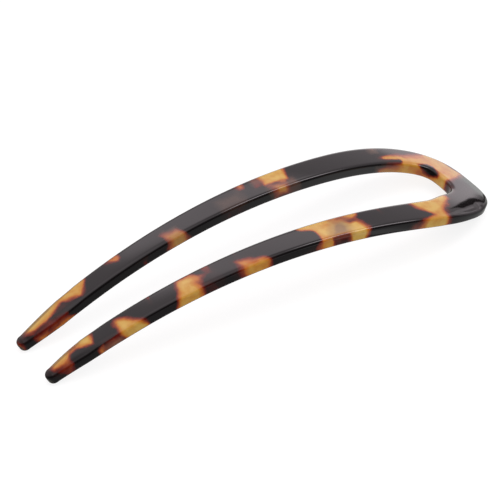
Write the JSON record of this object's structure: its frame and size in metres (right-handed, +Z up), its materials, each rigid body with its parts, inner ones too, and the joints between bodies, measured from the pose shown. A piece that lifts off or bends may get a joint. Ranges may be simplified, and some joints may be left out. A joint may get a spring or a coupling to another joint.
{
  "type": "u-shaped hair pin",
  "caption": "One-piece U-shaped hair pin with tapering prongs and a wide rounded bow, arched to follow the head, for holding a bun or twist of hair.",
  "frame": {"origin": "the surface the pin rests on, at the centre of its footprint, midway between the tips and the end of the bow", "axes": "+X along the pin from the tips to the bow, +Y across the prongs, +Z up out of the arch's crown"},
  "size_m": [0.1118, 0.0306, 0.0149],
  "materials": {
    "tortoiseshell": "polished"
  },
  "bodies": {
    "root": {"hair_pin": "tortoiseshell"}
  },
  "joints": []
}
